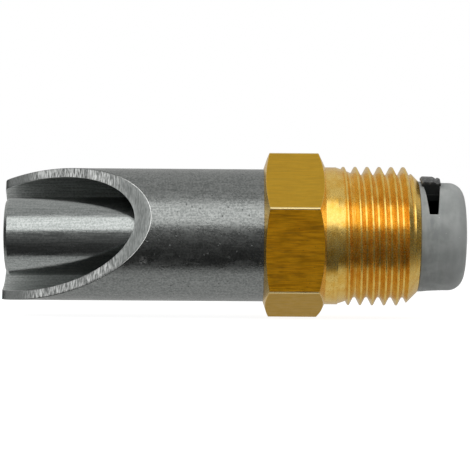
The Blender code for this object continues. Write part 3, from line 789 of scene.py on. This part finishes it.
def makeBody():
    leftSlope = 1.0 / math.tan(body["mouthChamfer"])
    leftFoot = body["socket"] + 0.1 * mm
    rightSlope = 1.0 / math.tan(body["neckChamfer"])
    rightFoot = body["neck"] + body["neckStep"]
    left = bodyLow.x
    clusters = [-0.16, -0.10, -0.06, -0.03, 0.0, 0.03, 0.06, 0.10, 0.16]
    rows = [("left", t) for t in (0.0, 0.2, 0.4, 0.6, 0.8)] + [("leftCrease", c) for c in clusters]
    rows += [("middle", t / 12.0) for t in range(1, 12)]
    rows += [("rightCrease", c) for c in clusters] + [("right", t) for t in (0.2, 0.4, 0.6, 0.8, 0.94, 1.0)]
    angles = hexAngles()
    rings = []
    for kind, value in rows:
        ring = []
        for angle in angles:
            flat = hexRadius(angle)
            leftCrease = left + (flat - leftFoot) / leftSlope
            rightCrease = -(flat - rightFoot) / rightSlope
            mouthRoom = min((leftCrease - left) / (0.2 * mm), 1.0)
            neckRoom = min(-rightCrease / (0.2 * mm), 1.0)
            if kind == "left":
                x = left + (leftCrease - 0.17 * mm * mouthRoom - left) * value
            elif kind == "leftCrease":
                x = leftCrease + value * mm * mouthRoom
            elif kind == "middle":
                x = leftCrease + (rightCrease - leftCrease) * value
            elif kind == "rightCrease":
                x = rightCrease + value * mm * neckRoom
            else:
                x = (rightCrease + 0.17 * mm * neckRoom) * (1.0 - value)
            cone = min(leftFoot + (x - left) * leftSlope, rightFoot - x * rightSlope)
            ring.append(roundPoint(x, smoothMin(flat, cone, body["chamferRound"]), angle))
        rings.append(ring)

    def addRing(x, r):
        rings.append([roundPoint(x, r, angle) for angle in angles])

    crest = body["neck"]
    for x in (0.0, 0.04, 0.3, 0.7, 1.1, 1.5):
        addRing(x * mm, crest)
    start = 1.72 * mm
    count = body["threadRows"]
    for row in range(count + 1):
        addRing(start + (bodyHigh.x - start) * row / count, crest)
    # The end face and the bores, from the inlet back to the tube's socket.
    bore = body["webBore"]
    lip = body["webBack"] + body["lipHeight"]
    inside = [(bodyHigh.x, 8.24 * mm, 0.0), (bodyHigh.x - 0.06 * mm, body["chamber"], 0.0),
              (8.0 * mm, body["chamber"], 0.0), (body["webBack"], body["chamber"], 0.25 * mm),
              (body["webBack"], bore + 1.0 * mm, 0.05 * mm), (lip, bore + body["lipWidth"], 0.08 * mm),
              (lip, bore, 0.10 * mm), (body["webFront"], bore, 0.12 * mm),
              (body["webFront"], body["socket"], 0.08 * mm), (left + 0.05 * mm, body["socket"], 0.0)]
    for x, r in filleted(inside):
        addRing(x, r)
    obj = newObject("hexBody", gridMesh("hexBody", rings))
    values = dict(thread, Material=brassTurned)
    applyTree(obj, threadTree(), values)
    finish(obj, (brassTurned, brassFlat), "housing", "hex_body", 50.0)
    half = body["acrossFlats"] / 2.0
    marks = []
    for face in obj.data.polygons:
        onHex = face.center.x < 0.0 and math.hypot(face.center.y, face.center.z) > half - 0.02 * mm
        marks.append(1 if onHex and abs(face.normal.x) < 0.12 else 0)
    obj.data.polygons.foreach_set("material_index", marks)
    return obj


makeBody()


pin = {
    "radius": 5.9 * mm,
    "edge": 0.48 * mm,
    "face": 3.0 * mm,                  # flat middle of the end face
    "front": -47.9 * mm,
    "headBack": -8.0 * mm,
    "neckStart": -5.1 * mm,
    "tailEnd": 3.675 * mm,
    "droop": math.radians(0.5),        # the loose pin hangs a little low at the mouth
    "pivot": (-1.0 * mm, 0.0, 0.0),
    "neck": 3.0 * mm,
    "shoulder": 0.85 * mm,
    "tail": 2.0 * mm,
    "groove": (2.125 * mm, 2.675 * mm, 1.6 * mm),
    "sides": 192,
}


def makePin():
    front = pin["front"]
    groove = pin["groove"]
    edge = pin["edge"]
    outline = [(front, 0.0, 0.0), (front, pin["face"], 0.0), (front, pin["radius"] - edge, 0.06 * mm),
               (front + edge, pin["radius"], 0.06 * mm)]
    outline += [(x * mm, pin["radius"], 0.0) for x in (-44.0, -38.0, -32.0, -26.0, -20.0, -14.0)]
    outline += [(pin["headBack"], pin["radius"], 0.3 * mm), (pin["neckStart"], pin["neck"], 0.3 * mm),
                (pin["shoulder"], pin["neck"], 0.1 * mm), (pin["shoulder"], pin["tail"], 0.05 * mm),
                (groove[0], pin["tail"], 0.03 * mm), (groove[0], groove[2], 0.03 * mm),
                (groove[1], groove[2], 0.03 * mm), (groove[1], pin["tail"], 0.03 * mm),
                (pin["tailEnd"], pin["tail"], 0.4 * mm), (pin["tailEnd"], 0.0, 0.0)]
    obj = lathe("bitePin", filleted(outline, 6), pin["sides"])
    turn = tube["scoopTurn"]
    pivot = Matrix.Translation(pin["pivot"])
    hang = Matrix.Rotation(pin["droop"], 4, Vector((0.0, -math.cos(turn), math.sin(turn))))
    obj.data.transform(pivot @ hang @ pivot.inverted())
    return finish(obj, (steelPin,), "bite_pin", "bite_pin")


makePin()


seal = {
    "bore": 3.05 * mm,
    "edge": 0.15 * mm,
    "bead": 0.6 * mm,
    "crown": (9.4, 1.9),      # degrees by which its faces fall away from the hole, so that the rim can rock
    "ease": 0.10 * mm,
}
plate = {
    "bore": 2.05 * mm,
    "edge": 0.12 * mm,
    "bead": 0.0,
    "crown": (0.0, 0.0),
    "ease": 0.0,
}
clip = {
    "bore": 1.65 * mm,
    "radius": 2.95 * mm,
    "mouth": math.radians(35.0),    # half of the opening
}


def makeWasher(name, node, sizes, material, bodyName):
    low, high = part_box(node)
    radius = high.z
    bore = sizes["bore"]
    edge = sizes["edge"]
    bead = sizes["bead"]
    drop = [(radius - bore) * math.tan(math.radians(angle)) for angle in sizes["crown"]]
    high.x -= sizes["ease"]
    outline = [(low.x, bore, edge), (high.x, bore, edge), (high.x - drop[1], radius, edge),
               (low.x + drop[0], radius, edge)]
    if bead:
        middle = (bore + radius) / 2.0
        face = high.x - drop[1] / 2.0
        outline.insert(2, (face - drop[1] * bead / (radius - bore), middle + bead, 0.0))
        outline.insert(2, (face - bead / 5.0, middle, bead / 2.0))
        outline.insert(2, (face + drop[1] * bead / (radius - bore), middle - bead, 0.0))
    obj = lathe(name, filleted(outline), 128, True)
    return finish(obj, (material,), bodyName, node)


def makeClip():
    low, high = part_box("pin_clip")
    bore = clip["bore"]
    radius = clip["radius"]
    obj = lathe("pinClip", filleted([(low.x, bore, 0.06 * mm), (high.x, bore, 0.06 * mm),
                                     (high.x, radius, 0.10 * mm), (low.x, radius, 0.10 * mm)]), 96, True)

    def mouth(angle):
        return [(low.x - 1 * mm, 0.4 * bore), (low.x - 1 * mm, radius + 1 * mm),
                (high.x + 1 * mm, radius + 1 * mm), (high.x + 1 * mm, 0.4 * bore)]

    combine(obj, swept("clipMouth", mouth, -clip["mouth"], clip["mouth"], 8), "DIFFERENCE")
    return finish(obj, (steelSpring,), "bite_pin", "pin_clip")


makeWasher("valveSeal", "valve_seal", seal, rubberSeal, "valve_seal")
makeWasher("valvePlate", "valve_plate", plate, steelPin, "bite_pin")
makeClip()


spring = {
    "Wire radius": 0.35 * mm,
    "Coil radius": 4.2 * mm,
    "Turns": 4.5,
    "Steps": 216,
    "room": 0.34 * mm,        # for the plate, which rocks by a few degrees under the last turn
    "travel": 1.5 * mm,
}


def springTree():
    # Winds a line into a coil whose first and last turns lie flat.
    tree = NodeTree("springWinder")
    tree.number("Wire radius", spring["Wire radius"])
    tree.number("Coil radius", spring["Coil radius"])
    tree.number("Turns", spring["Turns"])
    tree.number("Steps", spring["Steps"], "NodeSocketInt")
    tree.number("Low", 0.0)
    tree.number("High", 0.0)
    tree.number("Material", None, "NodeSocketMaterial")
    tree.open()
    given = tree.inputs
    line = tree.add("GeometryNodeCurvePrimitiveLine")
    resample = tree.add("GeometryNodeResampleCurve")
    tree.link(line.outputs[0], resample.inputs["Curve"])
    tree.link(given["Steps"], resample.inputs["Count"])
    share = tree.add("GeometryNodeSplineParameter").outputs["Factor"]
    turn = tree.maths("MULTIPLY", tree.maths("MULTIPLY", share, given["Turns"]), -2.0 * math.pi)
    swing = tree.maths("SINE", tree.maths("MULTIPLY", share, 2.0 * math.pi))
    rise = tree.maths("SUBTRACT", share, tree.maths("MULTIPLY", swing, 0.5 / math.pi))
    start = tree.maths("ADD", given["Low"], given["Wire radius"])
    lift = tree.maths("SUBTRACT", tree.maths("SUBTRACT", given["High"], given["Wire radius"]), start)
    x = tree.maths("ADD", start, tree.maths("MULTIPLY", rise, lift))
    y = tree.maths("MULTIPLY", tree.maths("MULTIPLY", tree.maths("COSINE", turn), given["Coil radius"]), -1.0)
    z = tree.maths("MULTIPLY", tree.maths("SINE", turn), given["Coil radius"])
    move = tree.add("GeometryNodeSetPosition")
    tree.link(resample.outputs["Curve"], move.inputs["Geometry"])
    tree.link(tree.vector(x, y, z), move.inputs["Position"])
    circle = tree.add("GeometryNodeCurvePrimitiveCircle")
    circle.inputs["Resolution"].default_value = 16
    tree.link(given["Wire radius"], circle.inputs["Radius"])
    skin = tree.add("GeometryNodeCurveToMesh")
    skin.inputs["Fill Caps"].default_value = True
    tree.link(move.outputs["Geometry"], skin.inputs["Curve"])
    tree.link(circle.outputs["Curve"], skin.inputs["Profile Curve"])
    return tree.close(skin.outputs["Mesh"])


def makeSpring():
    low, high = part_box("valve_spring")
    obj = newObject("valveSpring", bpy.data.meshes.new("valveSpring"))
    applyTree(obj, springTree(), dict(spring, Low=low.x + spring["room"], High=high.x, Material=steelSpring))
    shape = bmesh.new()
    shape.from_mesh(obj.data)
    bmesh.ops.remove_doubles(shape, verts=shape.verts[:], dist=0.000001)
    bmesh.ops.recalc_face_normals(shape, faces=shape.faces[:])
    shape.to_mesh(obj.data)
    shape.free()
    finish(obj, (steelSpring,), "housing", "valve_spring")
    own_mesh(obj)
    return obj


makeSpring()


def drillTree():
    # Cuts a ring of round holes through a disc, along the centre line.
    tree = NodeTree("ringOfHoles")
    tree.number("Count", 8, "NodeSocketInt")
    tree.number("Ring radius", 0.004)
    tree.number("Hole radius", 0.001)
    tree.number("Hole sides", 16, "NodeSocketInt")
    tree.number("Middle", 0.0)
    tree.number("Depth", 0.004)
    tree.number("Material", None, "NodeSocketMaterial")
    tree.open()
    given = tree.inputs
    ring = tree.add("GeometryNodeMeshCircle")
    tree.link(given["Count"], ring.inputs["Vertices"])
    tree.link(given["Ring radius"], ring.inputs["Radius"])
    place = tree.add("GeometryNodeTransform")
    place.inputs["Rotation"].default_value = (0.0, math.pi / 2.0, 0.0)
    tree.link(ring.outputs["Mesh"], place.inputs["Geometry"])
    tree.link(tree.vector(given["Middle"], 0.0, 0.0), place.inputs["Translation"])
    bit = tree.add("GeometryNodeMeshCylinder")
    tree.link(given["Hole sides"], bit.inputs["Vertices"])
    tree.link(given["Hole radius"], bit.inputs["Radius"])
    tree.link(given["Depth"], bit.inputs["Depth"])
    along = tree.add("GeometryNodeTransform")
    along.inputs["Rotation"].default_value = (0.0, math.pi / 2.0, 0.0)
    tree.link(bit.outputs["Mesh"], along.inputs["Geometry"])
    spread = tree.add("GeometryNodeInstanceOnPoints")
    tree.link(place.outputs["Geometry"], spread.inputs["Points"])
    tree.link(along.outputs["Geometry"], spread.inputs["Instance"])
    solid = tree.add("GeometryNodeRealizeInstances")
    tree.link(spread.outputs["Instances"], solid.inputs["Geometry"])
    cut = tree.add("GeometryNodeMeshBoolean", operation="DIFFERENCE", solver="EXACT")
    tree.link(given["Geometry"], cut.inputs["Mesh 1"])
    tree.link(solid.outputs["Geometry"], cut.inputs["Mesh 2"])
    return tree.close(cut.outputs["Mesh"])


ringOfHoles = drillTree()


retainer = {
    "hole": 1.1 * mm,
    "holes": 8,
    "boss": 3.65 * mm,
    "thick": 1.1 * mm,
}
strainer = {
    "hole": 0.42 * mm,
    "rings": (6, 12, 18),     # holes in each ring round the middle one
    "border": 1.16 * mm,
}


def makeRetainer():
    low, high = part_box("spring_retainer")
    hole = retainer["hole"]
    boss = retainer["boss"]
    face = high.x - retainer["thick"]
    rim = high.z
    outline = [(low.x, hole, 0.08 * mm), (low.x, boss, 0.12 * mm), (face, boss, 0.08 * mm),
               (face, rim, 0.12 * mm), (high.x, rim, 0.12 * mm), (high.x, hole, 0.08 * mm)]
    obj = lathe("springRetainer", filleted(outline), 128, True)
    applyTree(obj, ringOfHoles, {"Count": retainer["holes"], "Ring radius": (boss + rim) / 2.0,
                                 "Hole radius": hole, "Hole sides": 28, "Middle": high.x,
                                 "Material": plasticWhite})
    return finish(obj, (plasticWhite,), "housing", "spring_retainer")


def makeStrainer():
    low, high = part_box("filter_screen")
    rim = high.z
    hole = strainer["hole"]
    outline = [(low.x, hole, 0.03 * mm), (low.x, rim, 0.08 * mm),
               (high.x, rim, 0.08 * mm), (high.x, hole, 0.03 * mm)]
    obj = lathe("filterScreen", filleted(outline), 128, True)
    step = (rim - strainer["border"] - hole) / 3.0
    for index, count in enumerate(strainer["rings"], 1):
        applyTree(obj, ringOfHoles, {"Count": count, "Ring radius": index * step, "Hole radius": hole,
                                     "Hole sides": 14, "Middle": low.x, "Material": steelPin})
    return finish(obj, (steelPin,), "inlet_cap", "filter_screen")


makeRetainer()
makeStrainer()


capLow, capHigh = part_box("inlet_cap")
cap = {
    "shoulder": 14.10 * mm,
    "spigot": 8.0458 * mm,
    "bore": 7.1758 * mm,
    "flange": 8.3458 * mm,
    "radius": 8.1158 * mm,
    "corner": 2.3 * mm,
    "endWall": 1.1 * mm,
    "spigotChamfer": 0.29 * mm,
    "slotX": 15.32 * mm,
    "slotStart": math.radians(23.5),
    "slotEnd": math.radians(127.0),
    "slotWidth": 1.33 * mm,
    "slotTaper": 0.80 * mm,
    "slotWide": math.radians(63.0),    # from here on the slot keeps its width
    "sides": 192,
}


def slotSides(angle):
    # Both sides of the slot, along the centre line.
    spread = cap["slotTaper"] * (min(angle, cap["slotWide"]) - cap["slotStart"])
    return cap["slotX"] - spread, cap["slotX"] + cap["slotWidth"] + spread


def makeCap():
    shoulder = cap["shoulder"]
    end = capHigh.x
    inner = end - cap["endWall"]
    chamfer = cap["spigotChamfer"]
    outline = [(inner, 0.0, 0.0), (inner, cap["bore"], 1.43 * mm), (capLow.x, cap["bore"], 0.1 * mm),
               (capLow.x, cap["spigot"] - chamfer, 0.05 * mm), (capLow.x + chamfer, cap["spigot"], 0.1 * mm),
               (shoulder, cap["spigot"], 0.0), (shoulder, cap["flange"], 0.08 * mm),
               (shoulder + 0.7 * mm, cap["flange"] - 0.02 * mm, 0.0),
               (shoulder + 1.6 * mm, cap["radius"] + 0.11 * mm, 0.0),
               (end - 3.2 * mm, cap["radius"] + 0.02 * mm, 0.0),
               (end, cap["radius"], cap["corner"]), (end, 3.0 * mm, 0.0), (end, 0.0, 0.0)]
    obj = lathe("inletCap", filleted(outline, 10), cap["sides"])

    def slot(angle):
        low = cap["bore"] - 0.4 * mm
        high = cap["flange"] + 0.9 * mm
        near, far = slotSides(angle)
        return [(near, low), (near, high), (far, high), (far, low)]

    combine(obj, swept("slotCutter", slot, cap["slotStart"], cap["slotEnd"], 60), "DIFFERENCE")
    return finish(obj, (plasticCap,), "inlet_cap", "inlet_cap")


makeCap()


sleeveLow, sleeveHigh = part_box("flow_regulator")
regulator = {
    "radius": 7.0758 * mm,
    "bore": 6.0758 * mm,
    "start": math.radians(63.0),
    "end": math.radians(89.0),
    "gap": 0.1 * mm,
    "overhang": 0.40 * mm,
    "headWidth": 2.84 * mm,
    "foot": 8.4458 * mm,
    "top": 9.1158 * mm,
    "endWall": 1.0 * mm,
    "windowSpare": math.radians(2.0),
}


def makeRegulator():
    low = sleeveLow.x
    end = sleeveHigh.x
    inner = end - regulator["endWall"]
    outline = [(inner, 0.0, 0.0), (inner, regulator["bore"], 0.4 * mm), (low, regulator["bore"], 0.15 * mm),
               (low, regulator["radius"], 0.15 * mm), (end, regulator["radius"], 0.4 * mm), (end, 0.0, 0.0)]
    sleeve = lathe("flowRegulator", filleted(outline), 120)
    near, far = slotSides(regulator["start"])
    footLow = near + regulator["gap"]
    footHigh = far - regulator["gap"]

    def window(angle):
        return [(footLow, 5.0 * mm), (footLow, 8.0 * mm), (footHigh, 8.0 * mm), (footHigh, 5.0 * mm)]

    spare = regulator["windowSpare"]
    opening = swept("window", window, cap["slotStart"] - spare, regulator["start"] - spare, 20)
    combine(sleeve, opening, "DIFFERENCE")

    left = footLow - regulator["overhang"]
    right = left + regulator["headWidth"]
    rim = regulator["foot"]
    top = regulator["top"]

    def lug(angle):
        # The head is worn lower towards its inlet side, and its outer face is slightly uneven.
        share = (angle - regulator["start"]) / (regulator["end"] - regulator["start"])
        wave = 0.02 * mm * math.sin(9.0 * share + 1.0)
        knob = 0.10 * mm * math.exp(-((share - 0.45) / 0.2) ** 2)
        root = regulator["radius"] - 0.5 * mm
        points = [(footLow, root, 0.0), (footLow, rim, 0.05 * mm), (left, rim, 0.06 * mm),
                  (left, top - 0.30 * mm, 0.12 * mm), (left + 0.28 * mm, top - 0.01 * mm + wave, 0.12 * mm),
                  (left + 1.85 * mm, top - 0.04 * mm, 0.25 * mm),
                  (right - 0.42 * mm, top - 0.36 * mm, 0.08 * mm),
                  (right - 0.26 * mm, top - 0.20 * mm + knob, 0.05 * mm),
                  (right, top - 0.26 * mm + knob, 0.06 * mm), (right, rim, 0.08 * mm),
                  (footHigh, rim, 0.05 * mm), (footHigh, root, 0.0)]
        return filleted(points, 3)

    handle = swept("lug", lug, regulator["start"], regulator["end"], 26)
    combine(sleeve, handle, "UNION")
    return finish(sleeve, (plasticBlack,), "flow_regulator", "flow_regulator")


makeRegulator()
print("all pieces done")


studio = {
    "floorGap": 0.05 * mm,
    "floorSize": 3.0,
    "floorGlow": 0.90,
    "white": 1.0,
    "softbox": 1.66,
    "middle": 0.60,
    "dark": 0.19,
    "sides": (0.80, 0.98, 1.0, 0.15),     # light falls off towards the two ends
    "cameraDistance": 303.0 * mm,
    "cameraX": -13.42 * mm,
    "cameraZ": 0.03 * mm,
    "lens": 153.2,
    "sensor": 36.0,
    "roll": math.radians(0.39),
}


def makeFloor():
    low = cadBounds[0]
    shape = bmesh.new()
    bmesh.ops.create_grid(shape, x_segments=8, y_segments=8, size=studio["floorSize"])
    mesh = meshFrom("floor", shape, False)
    mesh.transform(Matrix.Translation((0.0, 0.0, low[2] - studio["floorGap"])))
    floor = newObject("floor", mesh)
    paint = Paint("paleFloor", 0.0, 0.9, (0.28, 0.28, 0.28))
    paint.shader.inputs["Specular IOR Level"].default_value = 0.0
    paint.shader.inputs["Emission Color"].default_value = (1.0, 1.0, 1.0, 1.0)
    paint.shader.inputs["Emission Strength"].default_value = studio["floorGlow"]
    tone = paint.noise((6.0,) * 3, 2.0, 0.5)
    floor.data.materials.append(paint.done(paint.blend(tone, (0.26, 0.26, 0.26), (0.29, 0.29, 0.29))))
    floor.visible_glossy = False
    floor.visible_diffuse = False


def makeWorld():
    # A studio drawn by direction: a softbox above the front, black cards below it, and pale walls.
    world = bpy.data.worlds.new("studio")
    bpy.context.scene.world = world
    world.use_nodes = True
    tree = world.node_tree
    nodes = tree.nodes
    links = tree.links
    nodes.clear()
    direction = nodes.new("ShaderNodeTexCoord").outputs["Generated"]
    spot = nodes.new("ShaderNodeSeparateXYZ")
    links.new(direction, spot.inputs[0])

    def maths(operation, *values):
        node = nodes.new("ShaderNodeMath")
        node.operation = operation
        for socket, value in zip(node.inputs, values):
            if isinstance(value, bpy.types.NodeSocket):
                links.new(value, socket)
            else:
                socket.default_value = value
        return node.outputs[0]

    # Share of a full turn round X, from straight below (0) past the front (0.25) to the top (0.5).
    angle = maths("ARCTAN2", spot.outputs[2], maths("MULTIPLY", spot.outputs[1], -1.0))
    share = maths("FRACT", maths("ADD", maths("DIVIDE", angle, 2.0 * math.pi), 0.25))
    ramp = nodes.new("ShaderNodeValToRGB")
    ramp.color_ramp.interpolation = "EASE"
    middle = studio["middle"]
    dark = studio["dark"]
    light = studio["softbox"]
    stops = [(-90.0, 1.08 * middle), (-66.0, 0.95 * middle), (-57.0, 0.22 * dark), (-30.0, 0.30 * dark),
             (2.0, 0.95 * dark), (14.0, 1.30 * dark), (20.0, light), (54.0, light), (64.0, 0.85 * middle),
             (110.0, middle), (200.0, 0.9 * middle), (269.0, 1.08 * middle)]
    points = ramp.color_ramp.elements
    while len(points) < len(stops):
        points.new(0.5)
    peak = max(light, 1.0)
    for point, (degrees, value) in zip(points, stops):
        point.position = (degrees + 90.0) / 360.0
        point.color = (value / peak, value / peak, value / peak, 1.0)
    links.new(share, ramp.inputs[0])
    side = nodes.new("ShaderNodeMapRange")
    side.interpolation_type = "SMOOTHSTEP"
    links.new(maths("ABSOLUTE", spot.outputs[0]), side.inputs[0])
    for socket, value in zip(side.inputs[1:5], studio["sides"]):
        socket.default_value = value
    strength = maths("MULTIPLY", maths("MULTIPLY", ramp.outputs[0], peak), side.outputs["Result"])
    surface = nodes.new("ShaderNodeBackground")
    surface.inputs["Color"].default_value = (1.0, 1.0, 0.985, 1.0)
    links.new(strength, surface.inputs["Strength"])
    plain = nodes.new("ShaderNodeBackground")
    plain.inputs["Color"].default_value = (1.0, 1.0, 1.0, 1.0)
    plain.inputs["Strength"].default_value = studio["white"]
    choose = nodes.new("ShaderNodeMixShader")
    links.new(nodes.new("ShaderNodeLightPath").outputs["Is Camera Ray"], choose.inputs[0])
    links.new(surface.outputs[0], choose.inputs[1])
    links.new(plain.outputs[0], choose.inputs[2])
    links.new(choose.outputs[0], nodes.new("ShaderNodeOutputWorld").inputs[0])


def makeCamera():
    data = bpy.data.cameras.new("camera")
    data.lens = studio["lens"]
    data.sensor_width = studio["sensor"]
    data.clip_start = 0.01
    camera = bpy.data.objects.new("camera", data)
    bpy.context.scene.collection.objects.link(camera)
    upright = Matrix.Rotation(math.pi / 2.0, 4, "X") @ Matrix.Rotation(studio["roll"], 4, "Z")
    place = Matrix.Translation((studio["cameraX"], -studio["cameraDistance"], studio["cameraZ"]))
    camera.matrix_world = place @ upright
    bpy.context.scene.camera = camera


makeFloor()
makeWorld()
makeCamera()
bpy.context.scene.view_settings.view_transform = "Standard"
print("stage done")
